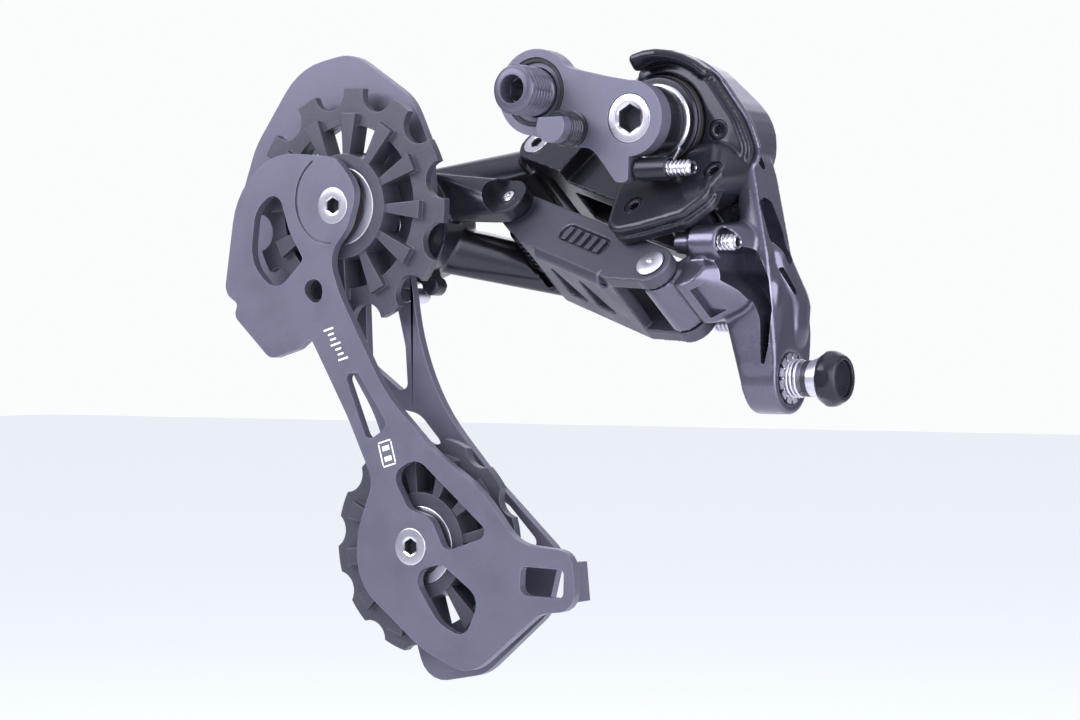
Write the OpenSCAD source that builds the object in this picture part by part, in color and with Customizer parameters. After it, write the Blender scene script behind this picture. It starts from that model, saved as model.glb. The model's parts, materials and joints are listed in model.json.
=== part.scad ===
// Rear bicycle derailleur: slant-parallelogram mechanism with a long two-plate chain cage.
// Millimetres. +X points to the rear of the bicycle, +Y outboard, +Z up.
// The origin is on the hanger bolt's axis, at the inner face of the hanger link.

/* [Hanger link] */
// Thickness of the hanger link plate
link_t = 3.6; // [3.2:0.1:3.8]
// Radius of the link's end around the hanger bolt
hanger_end_r = 8.6; // [8.2:0.1:9]
// Length of the bolt's threaded end beyond the link
hanger_thread_len = 8.1; // [7:0.1:10]
// Major radius of the hanger bolt's thread
hanger_thread_r = 4.95; // [4.9:0.01:5]

/* [Pulleys] */
// Number of teeth on each pulley
teeth = 12; // [12:1:12]
// Distance between two chain rollers
chain_pitch = 12.7; // [12.7:0.1:12.7]
// Radius of a chain roller, with play
roller_r = 3.88; // [3.85:0.01:3.95]
// Thickness of the toothed rim
tooth_t = 2; // [1.6:0.1:2.2]
// Tooth tip radius of the upper pulley
upper_tip_r = 24.8; // [24:0.1:25]
// Tooth tip radius of the lower pulley
lower_tip_r = 22.5; // [22:0.1:23.5]

/* [Cage] */
// Distance between the two pulley axes
pulley_spacing = 72.5; // [70:0.5:75]
// Lean of the cage away from vertical, in degrees
cage_lean = 16; // [14:0.5:18]
// Thickness of each cage plate
plate_t = 2; // [1.6:0.1:2]
// Inner face of the outer cage plate
outer_plate_y = 5.1; // [5.1:0.1:5.3]
// Outer face of the inner cage plate
inner_plate_y = -4.9; // [-5.1:0.1:-4.9]

/* [Linkage] */
// Slant of the linkage pins from upright, in degrees
slant = 50; // [48:1:52]
// Skew of the linkage pins, in degrees
skew = 10; // [9:0.5:11]
// Length of each link, pin to pin
link_len = 46.5; // [46:0.1:47]
// Direction of the links at rest, in the plane across the pins
link_dir = 147; // [146:1:148]
// Radius of a linkage pin
pin_r = 2.2; // [2:0.1:2.4]

/* [Hidden] */
$fn = 48;
eps = 0.05;

// Axes that run along Y, as [x, z]
hanger_axis = [0, 0];
knuckle_axis = [22, -6.2];
upper_pulley = [-47, -21.3];
cage_pivot = [-41, -25];
// Chain line, and the faces of the toothed rims
rim_y = 0.1;
pitch_r = chain_pitch / 2 / sin(180 / teeth);
// Cage pivot measured in the cage's own frame
cage_pivot_uv = [
    (cage_pivot.x - upper_pulley.x) * cos(cage_lean) + (cage_pivot.y - upper_pulley.y) * sin(cage_lean),
    (cage_pivot.y - upper_pulley.y) * cos(cage_lean) - (cage_pivot.x - upper_pulley.x) * sin(cage_lean)];
lower_pulley_uv = [0, -pulley_spacing];

// Linkage pins, in the frame whose Z runs along them and whose origin is the first rear pin
rear_pin_1 = [27.6, -1.2, -34.4];
rear_pin_2_uv = [2.3, 15.2];
front_pin_1_uv = link_len * [cos(link_dir), sin(link_dir)];
front_pin_2_uv = front_pin_1_uv + rear_pin_2_uv;
fork_r = 4.3;
// Room round a link's end, how far a swept link's room reaches, and play in a pin's hole
room_r = 5.3;
sweep_reach = 70;
pin_play = 0.02;

// Screw and adjuster axes that run along X, as [y, z]
stop_screw_yz = [2.6, -16.1];
high_screw_yz = [5, -30.5];
low_screw_yz = [20, -46];
adjuster_yz = [17, -56.6];
small_screw_r = 1.62;

// Front and back faces of the upper body's cover, and its screws' places
cover_y0 = 12.5;
cover_y1 = 16.3;
cover_screw_xz = [[34.7, -8.2], [32.9, -15.6]];
lobe_screw = [-4.2, 12.1];
// Stop pin of the cage, in the cage's frame
cage_stop = [6, -21];

// ---------- helpers ----------

// Points of a polygon whose corners [x, y, radius] are rounded by arcs
function unit(v) = v / norm(v);
function corner_arc(a, p, b, r, steps = 5) =
    let (da = unit([a.x - p.x, a.y - p.y]),
         db = unit([b.x - p.x, b.y - p.y]),
         half = acos(max(-0.9999, min(1, da * db))) / 2,
         reach = min(r / tan(half), 0.49 * norm([a.x - p.x, a.y - p.y]), 0.49 * norm([b.x - p.x, b.y - p.y])),
         radius = reach * tan(half),
         centre = [p.x, p.y] + unit(da + db) * radius / sin(half),
         from = [p.x, p.y] + da * reach - centre,
         to = [p.x, p.y] + db * reach - centre,
         start = atan2(from.y, from.x),
         turn = atan2(from.x * to.y - from.y * to.x, from * to))
    [for (i = [0:steps]) centre + radius * [cos(start + turn * i / steps), sin(start + turn * i / steps)]];
function rounded(points) =
    [for (i = [0:len(points) - 1])
        each corner_arc(points[(i + len(points) - 1) % len(points)], points[i],
                        points[(i + 1) % len(points)], points[i][2])];

// Extrude a shape drawn in X-Z from y0 to y1
module along_y(y0, y1) {
    translate([0, y1, 0]) rotate([90, 0, 0]) linear_extrude(height = y1 - y0) children();
}

// Solid rod, and tube, along Y
module rod_y(at, y0, y1, r) {
    translate([at.x, y1, at.y]) rotate([90, 0, 0]) cylinder(r = r, h = y1 - y0);
}
module tube_y(at, y0, y1, r_in, r_out) {
    difference() {
        rod_y(at, y0, y1, r_out);
        rod_y(at, y0 - 1, y1 + 1, r_in);
    }
}

// Rod along X, at [y, z]
module rod_x(at, x0, x1, r, r_end = -1) {
    translate([x0, at.x, at.y]) rotate([0, 90, 0]) cylinder(r1 = r, r2 = r_end < 0 ? r : r_end, h = x1 - x0);
}

// Hexagonal socket, by its width across flats
module hex_y(at, y0, y1, across) {
    translate([at.x, y1, at.y]) rotate([90, 0, 0]) cylinder(d = across / cos(30), h = y1 - y0, $fn = 6);
}
module hex_x(at, x0, x1, across) {
    translate([x0, at.x, at.y]) rotate([0, 90, 0]) cylinder(d = across / cos(30), h = x1 - x0, $fn = 6);
}

// The cage's own frame, and the frame of the linkage pins
module in_cage() {
    translate([upper_pulley.x, 0, upper_pulley.y]) rotate([0, -cage_lean, 0]) children();
}
module in_linkage() {
    translate(rear_pin_1) rotate([slant, -skew, 0]) children();
}

// Rod parallel to the linkage pins, drawn in the linkage frame
module pin_rod(at, s0, s1, r) {
    translate([at.x, at.y, s0]) cylinder(r = r, h = s1 - s0);
}

// Space swept by one link about a pin, from its near edge over the side where it turns
module sweep_room(at, dir, near, s0, s1) {
    translate([at.x, at.y, s0]) rotate([0, 0, dir]) translate([0, -near, 0])
        cube([sweep_reach, sweep_reach + near, s1 - s0]);
}

// ---------- hanger link ----------

module hanger_link_outline() {
    circle(r = hanger_end_r);
    translate(knuckle_axis) circle(r = 7.4);
    translate([9, -7.7]) circle(r = 3.2);
    polygon(rounded([
        [-3, 8.05, 0.5], [3, 8.05, 6], [7, 4.6, 14], [16, 2.4, 14], [22, 1.2, 1], [27, -6, 1],
        [22, -10, 1], [21.7, -18.6, 1], [19, -18.6, 1.5], [13.5, -11.5, 5], [6, -10.9, 4], [-2, -8, 1]]));
}
module hanger_link() {
    color("#55566a")
    difference() {
        union() {
            along_y(0, link_t) hanger_link_outline();
            along_y(-8, eps) intersection() {
                translate([9, -7.7]) circle(r = 3.2);
                translate([5, -11.5]) square([7.5, 5.6]);
            }
        }
        rod_y(hanger_axis, -9, link_t + 1, hanger_thread_r);
        rod_y(hanger_axis, -1, 0.6, 6.9);
        rod_y(knuckle_axis, -1, 2.9, 4.9);
        rod_y(knuckle_axis, 0, link_t + 1, 3.55);
    }
}
module hanger_bolt() {
    color("#3a3b46")
    difference() {
        union() {
            rod_y(hanger_axis, -hanger_thread_len, 0.5, hanger_thread_r);
            rod_y(hanger_axis, 0.5, link_t + 1, hanger_thread_r - 0.25);
            rod_y(hanger_axis, link_t + eps, link_t + 2.4, 7);
        }
        hex_y(hanger_axis, -hanger_thread_len + 3.5, link_t + 3, 5);
        rod_y(hanger_axis, -hanger_thread_len - 1, -hanger_thread_len + 3.6, 2.7);
    }
}
module hanger_bolt_seal() {
    color("#17171b") tube_y(hanger_axis, 0.1, 0.5, 5.9, 6.7);
}
module pivot_bolt() {
    color("#d4d5dc")
    difference() {
        union() {
            rod_y(knuckle_axis, 0, 2.8, 4.8);
            rod_y(knuckle_axis, 2.8, 27, 3.5);
        }
        hex_y(knuckle_axis, -1, 3.5, 5);
    }
}
module pivot_sleeve() {
    color("#26262d") tube_y(knuckle_axis, link_t + eps, 9.4, 3.6, 7);
}
module pivot_clip() {
    color("#8c8d96") tube_y(knuckle_axis, 25.6, 26.6, 3.55, 5.2);
}

// ---------- upper body ----------

module cover_outline() {
    polygon(rounded([
        [14.5, -2, 4], [13, 5, 5], [19.5, 8.8, 6], [31, 4.4, 16], [38.6, -6, 14], [41.2, -12.6, 4],
        [37.5, -18.8, 10], [31, -24.4, 8], [24, -24.6, 4], [17, -21, 4]]));
}

// Root of the cover's slanted lobe, with a gap round it where the shell clears it
module cover_root(gap) {
    intersection() {
        in_linkage() translate([6.5, 12, -9] - gap * [1, 1, 1]) cube([6, 12, 10] + 2 * gap * [1, 1, 1]);
        along_y(-6, cover_y1 + gap) translate([10, -40]) square([40, 60]);
    }
}

// Room that both links need beside the upper body's pins
module rear_link_room() {
    in_linkage() {
        sweep_room([0, 0], link_dir, 4.9, -19.3, 0.35);
        sweep_room(rear_pin_2_uv, link_dir, 4.8, -18.6, 0.3);
        pin_rod([0, 0], -3.2, 8, room_r);
        pin_rod([0, 0], -30, -15.8, room_r);
        pin_rod(rear_pin_2_uv, -14.2, 0.4, room_r);
    }
}
module upper_body_shell() {
    color("#1c1c22")
    difference() {
        union() {
            difference() {
                union() {
                    // Spring housing with its rounded cap
                    hull() {
                        rod_y(knuckle_axis, 16.5, 26, 12.9, $fn = 32);
                        rod_y([27.8, -10.6], 16.5, 28, 11.6, $fn = 32);
                        rod_y([25.8, -9], 16.5, 31.5, 9, $fn = 32);
                    }
                    // Arm, from the housing down to the cable adjuster
                    hull() {
                        rod_y([31.5, -18], 16.6, 25, 9.5, $fn = 32);
                        rod_y([39.8, -34], 12.5, 22, 6.2, $fn = 32);
                    }
                    hull() {
                        rod_y([40, -35], 12.2, 22.2, 6, $fn = 32);
                        rod_x([19.5, -47.5], 41, 48.2, 6.2, $fn = 32);
                        rod_x(adjuster_yz, 41.4, 48.6, 7, $fn = 32);
                    }
                    // Fork box that carries the first rear pin
                    hull() {
                        in_linkage() pin_rod([6, 0], -15.2, -3.8, 3.9, $fn = 24);
                        rod_y([38, -38], 10, 22.5, 6.4, $fn = 24);
                    }
                    // Lug that carries the lower end of the second rear pin
                    hull() {
                        in_linkage() pin_rod(rear_pin_2_uv, -18, -14.3, fork_r, $fn = 24);
                        rod_y([32.5, -26], 19, 24.6, 6.5, $fn = 24);
                    }
                    // Shoulder in front of the arm that carries the high limit screw
                    hull() {
                        rod_x(high_screw_yz, 34, 40, 3.4, $fn = 24);
                        rod_y([38.5, -31], 12, 20, 5, $fn = 24);
                    }
                }
                rear_link_room();
                along_y(-6, cover_y1 + 0.1) cover_outline();
                cover_root(0.1);
                rod_x(high_screw_yz, 37.5, 60, 2.7);
            }
            in_linkage() pin_rod([0, 0], -15.7, -3.3, fork_r);
            // Bosses of the two limit screws
            rod_x(high_screw_yz, 30, 37.4, 2.1, 2.6);
            rod_x(low_screw_yz, 33, 42, 2.8);
        }
        in_linkage() pin_rod([0, 0], -30, 10, pin_r + pin_play);
        in_linkage() pin_rod(rear_pin_2_uv, -30, 10, pin_r + pin_play);
        rod_y(knuckle_axis, 0, 25, 10);
        rod_y(knuckle_axis, 24, 27.6, 5.6);
        rod_x(high_screw_yz, 29, 60, 1.65);
        rod_x(low_screw_yz, 32, 60, 1.65);
        rod_x(adjuster_yz, 37, 60, 3.05);
        rod_x(adjuster_yz, 48, 60, 5.2);
        // Pocket in the arm's side
        translate([39, 0, 0]) rotate([90, 0, 90]) linear_extrude(height = 20)
            polygon(rounded([
                [15, -21.6, 1], [18.6, -22.6, 1.5], [20, -28, 4],
                [19.4, -32, 1.2], [17.4, -33.4, 1], [15.2, -30, 4]]));
    }
}
module upper_body_cover() {
    color("#202026")
    difference() {
        union() {
            along_y(cover_y0, cover_y1) cover_outline();
            // Hood over the stop ring
            intersection() {
                tube_y(knuckle_axis, 7.5, 12.6, 12.2, 14);
                along_y(7, 13) polygon([[22, -6.2], [36, 10], [16, 14], [10, 8]]);
            }
            // Slanted lobe over the second rear pin, and its root
            in_linkage() {
                translate([0, 0, 0.5]) linear_extrude(height = 4.5) {
                    translate(rear_pin_2_uv) circle(r = 5.2);
                    translate([-3.5, 12.5]) circle(r = 6.2);
                    polygon([[-9.6, 13.5], [-9, 20], [-2, 25], [11, 26], [12.5, 18], [8, 11], [-2, 6.6]]);
                }
            }
            cover_root(0);
        }
        rod_y(knuckle_axis, 0, 20, 9.6);
        rear_link_room();
        // Flat above the lobe, clear of the stop plate
        translate([5, -5, -16.7]) cube([25.5, 17.4, 12]);
        in_linkage() pin_rod(rear_pin_2_uv, -30, 3.2, pin_r + pin_play);
        in_linkage() pin_rod(lobe_screw, 2, 6, 2.1);
        for (at = cover_screw_xz)
            rod_y(at, 12, 15, 2.1);
    }
}
module cover_screws() {
    color("#2c2c33") {
        for (at = cover_screw_xz)
            difference() {
                rod_y(at, 12.4, 14.9, 2);
                hex_y(at, 11, 13.8, 2);
            }
        in_linkage() difference() {
            pin_rod(lobe_screw, 2.1, 5.1, 2);
            translate([lobe_screw.x, lobe_screw.y, 3.6]) cylinder(d = 2 / cos(30), h = 3, $fn = 6);
        }
    }
}
module pivot_bush() {
    color("#7a6a4a") {
        tube_y(knuckle_axis, 14.2, 24.4, 3.55, 5);
        tube_y(knuckle_axis, 23.4, 24.9, 3.55, 9.9);
    }
}
module pivot_spring() {
    color("#9a9ba3") tube_y(knuckle_axis, 14.4, 23.2, 6.4, 8.8);
}
module pivot_collar() {
    color("#1a1a1f") tube_y(knuckle_axis, 11.3, 14.1, 3.6, 9.3);
}
module stop_plate() {
    color("#b9bac4")
    difference() {
        union() {
            tube_y(knuckle_axis, 9.6, 11.2, 3.6, 8.5);
            // Arm that carries the stop screw's boss forward over the link's edge
            translate([23.2, 4.2, -16]) cube([4.6, 7, 2.2]);
            rod_x(stop_screw_yz, 22.8, 29.8, 2.3);
            translate([23.2, 3, -16.2]) cube([4.6, 2.6, 2.4]);
        }
        rod_x(stop_screw_yz, 20, 30, small_screw_r);
    }
}
module stop_screw() {
    color("#d4d5dc")
    difference() {
        rod_x(stop_screw_yz, 21.9, 35, 1.6);
        hex_x(stop_screw_yz, 33, 36, 2);
    }
}
module limit_screw(at, x0, x1) {
    difference() {
        rod_x(at, x0, x1, small_screw_r);
        hex_x(at, x1 - 2, x1 + 1, 2);
    }
}
module limit_screw_high() {
    color("#d4d5dc") limit_screw(high_screw_yz, 30.4, 43.5);
}
module limit_screw_low() {
    color("#d4d5dc") limit_screw(low_screw_yz, 29.6, 43);
}
module adjuster_barrel() {
    color("#1d1d22")
    difference() {
        union() {
            rod_x(adjuster_yz, 41.6, 51, 3);
            rod_x(adjuster_yz, 50.9, 53.2, 4.3);
            rod_x(adjuster_yz, 53.1, 57.6, 5.4);
            rod_x(adjuster_yz, 57.5, 60, 5.4, 4.4);
        }
        rod_x(adjuster_yz, 52, 61, 3.3);
        rod_x(adjuster_yz, 36, 53, 1.2);
    }
}
module adjuster_spring() {
    color("#c9cad2")
    difference() {
        rod_x(adjuster_yz, 48.9, 50.8, 4.1);
        rod_x(adjuster_yz, 48, 52, 3.1);
    }
}
module adjuster_detent() {
    color("#c9cad2")
    difference() {
        rod_x(adjuster_yz, 48.1, 48.8, 5);
        rod_x(adjuster_yz, 47, 50, 3.1);
    }
}
module rear_pins() {
    color("#b9bac4") in_linkage() {
        pin_rod([0, 0], -19.6, 0, pin_r);
        pin_rod([0, 0], 0, 0.5, 3);
        pin_rod(rear_pin_2_uv, -18, 3, pin_r);
    }
}

// ---------- linkage ----------

// A flange between two pins, in the frame of one link; v0 and v1 are its edges beside the pin line
module flange(s0, s1, v0, v1, u0 = 8, u1 = 38.5) {
    translate([0, 0, s0]) linear_extrude(height = s1 - s0) {
        circle(r = fork_r);
        translate([link_len, 0]) circle(r = fork_r);
        polygon([[0, -fork_r], [0, fork_r], [u0, v1], [u1, v1], [link_len, fork_r],
                 [link_len, -fork_r], [u1, v0], [u0, v0]]);
    }
}
module in_link(at) {
    in_linkage() translate([at.x, at.y, 0]) rotate([0, 0, link_dir]) children();
}
module inner_link() {
    color("#3c3d4b")
    in_link([0, 0]) difference() {
        union() {
            flange(-3, -0.2, -4.3, 6.5);
            flange(-19, -16.1, -4.3, 6.5);
            // Web that joins the two flanges, with its long windows
            difference() {
                translate([8, 4, -19]) cube([30.5, 2.5, 18.8]);
                for (u = [20, 30])
                    translate([u, 10, -10]) rotate([90, 0, 0]) linear_extrude(height = 12)
                        polygon(rounded([[-4, -5, 0.8], [3.4, -5, 0.8], [3.4, 5, 0.8]]));
            }
            // Folded edge
            translate([11, 5.6, -2.2]) rotate([0, 90, 0]) cylinder(r = 2, h = 22);
            translate([link_len, 0, -19]) cylinder(r = 3.6, h = 19.1);
        }
        pin_hole(0);
        pin_hole(link_len);
        // Pocket in the top flange
        translate([22, 0.5, -1.2]) linear_extrude(height = 3) polygon(rounded([
            [-8, -2, 1.9], [8, -2, 1.9], [8, 2, 1.9], [-8, 2, 1.9]]));
    }
}
module pin_hole(u) {
    translate([u, 0, -30]) cylinder(r = pin_r + 0.05, h = 60);
}
module return_spring() {
    color("#2a2a30")
    in_link([0, 0]) difference() {
        translate([link_len, 0, -15]) cylinder(r = 4.8, h = 11);
        translate([link_len, 0, -16]) cylinder(r = 3.7, h = 13);
    }
}
module outer_link() {
    color("#24242b")
    in_link(rear_pin_2_uv) difference() {
        union() {
            // Upper plate steps up towards the front fork
            translate([0, 0, -3]) linear_extrude(height = 3.2) {
                circle(r = fork_r);
                polygon([[0, -fork_r], [0, fork_r], [30, 4.3], [39.5, 4.3], [39.5, -4.3], [30, -4.3]]);
            }
            translate([0, 0, -0.7]) linear_extrude(height = 4.2) {
                translate([link_len, 0]) circle(r = fork_r);
                polygon([[link_len, -fork_r], [link_len, fork_r], [33, 4.3], [33, -4.3]]);
            }
            translate([0, 0, -14]) linear_extrude(height = 3) {
                circle(r = fork_r);
                polygon([[0, -fork_r], [0, fork_r], [30, 4.3], [39.5, 4.3], [39.5, -4.3], [30, -4.3]]);
            }
            translate([0, 0, -18]) linear_extrude(height = 3.7) {
                translate([link_len, 0]) circle(r = fork_r);
                polygon([[link_len, -fork_r], [link_len, fork_r], [33, 4.3], [33, -4.3]]);
            }
            // Web, and the wall that carries the front fork
            translate([7, -4.3, -14]) cube([32.5, 2.4, 14.2]);
            translate([33, -4.3, -18]) cube([6.5, 8.6, 21.5]);
            cylinder(r = fork_r, h = 3);
            translate([0, 0, -14]) cylinder(r = fork_r, h = 14.2);
        }
        translate([0, 0, 0.2]) cylinder(r = 8, h = 9);
        pin_hole(0);
        pin_hole(link_len);
        // Hole of the cable clamp bolt
        translate([20, 0, -30]) cylinder(r = 2.02, h = 19.2);
    }
}
module cable_clamp_plate() {
    color("#16161a")
    in_link(rear_pin_2_uv) difference() {
        translate([15.5, -4, -15.6]) cube([10, 8, 1.5]);
        translate([20, 0, -17]) cylinder(r = 2.02, h = 4);
    }
}
module cable_clamp_bolt() {
    color("#2c2c33")
    in_link(rear_pin_2_uv) difference() {
        union() {
            translate([20, 0, -15.6]) cylinder(r = 2, h = 4.5);
            translate([20, 0, -18.2]) cylinder(r = 3.4, h = 2.55);
        }
        translate([20, 0, -19]) cylinder(d = 4 / cos(30), h = 2.6, $fn = 6);
    }
}

// ---------- lower body ----------

// Room that both links need beside the lower body's pins
module front_link_room() {
    in_linkage() {
        sweep_room(front_pin_1_uv, link_dir - 180, 7.1, -19.25, 0.45);
        sweep_room(front_pin_2_uv, link_dir - 180, 4.9, -18.4, 4.2);
        pin_rod(front_pin_1_uv, -19.25, 0.45, room_r);
        pin_rod(front_pin_2_uv, -0.9, 9, room_r);
        pin_rod(front_pin_2_uv, -22, -14.1, room_r);
    }
}
module lower_body() {
    color("#1b1b20")
    difference() {
        union() {
            // Housing around the cage pivot
            translate([cage_pivot.x, 22, cage_pivot.y]) rotate([90, 0, 0])
                cylinder(r1 = 11.2, r2 = 13.5, h = 14);
            difference() {
                union() {
                    // Upper arm, to the first front pin's upper ear and the second pin's boss
                    hull() {
                        in_linkage() pin_rod(front_pin_1_uv, 0.5, 4, fork_r, $fn = 24);
                        rod_y([-35, -19], 9.5, 16, 5, $fn = 24);
                    }
                    hull() {
                        in_linkage() pin_rod(front_pin_2_uv - [5, 0], -14, -1, fork_r, $fn = 24);
                        rod_y([-36, -19], 10, 20, 5, $fn = 24);
                    }
                    // Lower arm, to the first front pin's lower ear
                    hull() {
                        in_linkage() pin_rod(front_pin_1_uv, -23, -19.3, fork_r, $fn = 24);
                        rod_y([-37, -29], 12, 21.5, 5, $fn = 24);
                    }
                }
                front_link_room();
            }
            in_linkage() pin_rod(front_pin_2_uv, -14, -1, fork_r);
            // Lug that the cage's stop pin rests against
            for (reach = [13, 15.8])
                rod_y(cage_pivot + reach * [cos(54.6), -sin(54.6)], 8.2, 12, 2);
        }
        in_linkage() pin_rod(front_pin_1_uv, -30, 10, pin_r + pin_play);
        in_linkage() pin_rod(front_pin_2_uv, -30, 10, pin_r + pin_play);
        rod_y(cage_pivot, 0, 20, 9);
        rod_y(cage_pivot, 19, 24, 5.55);
        rod_y(cage_pivot, 22, 40, 11.6);
    }
}
module lower_body_cap() {
    color("#202026")
    translate([cage_pivot.x, 25, cage_pivot.y]) rotate([90, 0, 0])
        difference() {
            cylinder(r1 = 8.5, r2 = 11.2, h = 2.9);
            translate([0, 0, 1.2]) cylinder(r = 7, h = 3);
        }
}
module front_pins() {
    color("#b9bac4") in_linkage() {
        pin_rod(front_pin_1_uv, -23, 4.2, pin_r);
        pin_rod(front_pin_2_uv, -18.2, 3.8, pin_r);
    }
}
module cage_bush() {
    color("#7a6a4a") tube_y(cage_pivot, 9.4, 21.9, 4.05, 5.5);
}
module cage_spring() {
    color("#9a9ba3") tube_y(cage_pivot, 9.4, 19.6, 6.1, 8.4);
}
module cage_dust_seal() {
    color("#1a1a1f") tube_y(cage_pivot, 8.1, 9.2, 4.1, 8.95);
}

// ---------- cage ----------

module inner_plate_outline() {
    difference() {
        polygon(rounded([
            [-33, -9, 8], [-24, 10.5, 18], [-12, 15.6, 14], [3.5, 9.5, 7], [7, 1.5, 6], [2.5, -5.5, 8],
            [-4, -9.5, 8], [-3.4, -18, 30], [2.2, -40.5, 40], [11, -55.5, 30], [20, -65.5, 30],
            [25.5, -78, 8], [37.6, -82.6, 3.5], [35.4, -94, 4], [27, -92.6, 6], [7, -101, 8],
            [-3, -93, 20], [-15, -77, 12], [-13, -67, 20], [-5.6, -57.5, 6], [-8.3, -43, 40],
            [-13.2, -24.5, 1.2], [-17, -26, 2], [-24.8, -26, 3], [-31.8, -14.5, 2], [-30.2, -12.2, 1]]));
        polygon(rounded([[-13, 8, 3], [-12.5, -1.5, 8], [-10.5, -8.5, 1.2], [-19.5, -13, 4], [-24.5, -5, 8],
                         [-20, 5.5, 6]]));
        polygon(rounded([[-13.6, -13, 2.4], [-6.4, -13, 2.4], [-9, -20.6, 2.2]]));
        polygon(rounded([[-6.6, -34.5, 1.3], [-3.4, -34.5, 1.3], [1.3, -47.6, 1.6], [-4.8, -49.2, 1.6]]));
        polygon(rounded([[-0.5, -57, 2.5], [6.5, -55.5, 4], [20, -75, 1.6], [8, -75.5, 2], [6.5, -68, 4],
                         [1.5, -65, 3]]));
        polygon(rounded([
            [-1.5, -77.5, 4], [6.5, -77.5, 3], [13.8, -86.5, 3.5], [8, -93.5, 3], [2.5, -89, 8]]));
        polygon(rounded([[25.2, -82.6, 1], [34.9, -85.6, 1], [33.2, -91, 1.2], [23.2, -88, 2]]));
    }
}
module inner_cage_plate() {
    color("#5c5d72")
    in_cage() difference() {
        union() {
            along_y(inner_plate_y, inner_plate_y + plate_t) inner_plate_outline();
            // Rim turned outboard around the chain guide loop
            along_y(inner_plate_y + plate_t - eps, 2)
                polygon([[34.6, -84.2], [36.2, -84.6], [34.8, -92.2], [33.2, -91.4]]);
        }
        rod_y([0, 0], -10, 0, 3.85);
        rod_y(lower_pulley_uv, -10, 0, 3.85);
        // Step around the upper pulley's bolt
        along_y(inner_plate_y - 1, inner_plate_y + 0.4) intersection() {
            translate([0, 1.5]) difference() {
                circle(r = 9.6);
                circle(r = 9);
            }
            translate([-12, -8]) square([9.5, 19]);
        }
    }
}
module outer_plate_outline() {
    difference() {
        polygon(rounded([
            [-31, 12, 8], [-24, 21.5, 20], [-8, 33.8, 16], [6.5, 32.2, 10], [18.6, 18, 12], [20.2, 8, 8],
            [18, -4, 10], [8.6, -14, 12], [6.4, -32, 60], [8.6, -46.5, 60], [17.5, -64, 40], [28.5, -81.5, 4],
            [22, -92.5, 6], [4, -100.8, 10], [-11, -99.5, 6], [-11.5, -88, 12], [-13, -74, 12], [-7, -60, 10],
            [-9, -42, 30], [-15, -24, 8], [-27, -13, 10], [-31, 0, 10]]));
        polygon(rounded([[-4, -17, 2], [3.2, -17, 2], [2.8, -31, 6], [1, -39.5, 1.5], [-1, -39.5, 1],
                         [-7.5, -31.5, 1.5]]));
        polygon(rounded([[-4.5, -42, 1], [2.5, -45.5, 6], [7.5, -55, 1.5], [-1.5, -52, 2]]));
        polygon(rounded([[15.5, -66, 1.5], [19, -69, 5], [24.5, -79, 1.5], [19, -79, 1.5]]));
        polygon(rounded([[-25, 1, 5], [-20, 6.5, 3], [-17, 0, 5], [-17, -9, 2], [-24, -7, 5]]));
        polygon(rounded([[-9, -79, 2], [-3, -79.5, 2], [2, -88, 2], [-4, -94, 3]]));
        intersection() {
            difference() {
                circle(r = 18);
                circle(r = 11.5);
            }
            polygon([[0, 0], [-18, 22], [18, 24]]);
        }
    }
}
module outer_cage_plate() {
    color("#4c4d60")
    in_cage() difference() {
        along_y(outer_plate_y, outer_plate_y + plate_t) outer_plate_outline();
        rod_y([0, 0], 0, 10, 2.52);
        rod_y(lower_pulley_uv, 0, 10, 2.52);
        rod_y(cage_pivot_uv, 0, 10, 4.02);
        rod_y(cage_stop, 0, 10, 1.62);
    }
}
module cage_axle() {
    color("#b9bac4")
    difference() {
        rod_y(cage_pivot, outer_plate_y, 22.6, 4);
        hex_y(cage_pivot, 4, 8, 5);
    }
}
module cage_axle_clip() {
    color("#8c8d96") tube_y(cage_pivot, 22.05, 22.55, 4.02, 5.3);
}
module cage_stop_pin() {
    color("#b9bac4") in_cage() rod_y(cage_stop, outer_plate_y, 11.6, 1.6);
}
module pulley_bolt(at) {
    difference() {
        union() {
            rod_y(at, inner_plate_y - 0.2, inner_plate_y + plate_t, 3.8);
            rod_y(at, inner_plate_y + plate_t - 0.1, outer_plate_y + plate_t, 2.5);
        }
        hex_y(at, inner_plate_y - 1, inner_plate_y + 2.3, 3);
    }
}
module upper_pulley_bolt() {
    color("#d4d5dc") in_cage() pulley_bolt([0, 0]);
}
module lower_pulley_bolt() {
    color("#d4d5dc") in_cage() pulley_bolt(lower_pulley_uv);
}

// ---------- pulleys ----------

module bearing_sleeve(at) {
    tube_y(at, inner_plate_y + plate_t + 0.02, outer_plate_y - 0.02, 2.55, 4);
}
module upper_bearing_sleeve() {
    color("#b9bac4") in_cage() bearing_sleeve([0, 0]);
}
module lower_bearing_sleeve() {
    color("#b9bac4") in_cage() bearing_sleeve(lower_pulley_uv);
}

// Toothed wheel with wedge ribs on both faces; the first tooth stands at angle phase
module pulley_wheel(at, tip_r, phase) {
    hub_y0 = -1.9;
    hub_y1 = 4.2;
    translate([at.x, 0, at.y]) rotate([0, -phase, 0]) {
        along_y(rim_y, rim_y + tooth_t) difference() {
            circle(r = tip_r);
            circle(r = 17);
            for (i = [0:teeth - 1])
                rotate((i + 0.5) * 360 / teeth) {
                    translate([pitch_r, 0]) circle(r = roller_r);
                    polygon([[pitch_r, -roller_r], [pitch_r + 6, -roller_r - 1.6],
                             [pitch_r + 6, roller_r + 1.6], [pitch_r, roller_r]]);
                }
        }
        // Ribs that widen outwards
        for (i = [0:teeth - 1])
            rotate([0, -i * 360 / teeth, 0]) along_y(-1.4, 3.6)
                polygon([[10.6, -0.85], [19.4, -1.9], [19.4, 1.9], [10.6, 0.85]]);
        tube_y([0, 0], hub_y0, hub_y1, 8.2, 10.9);
    }
}
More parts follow.
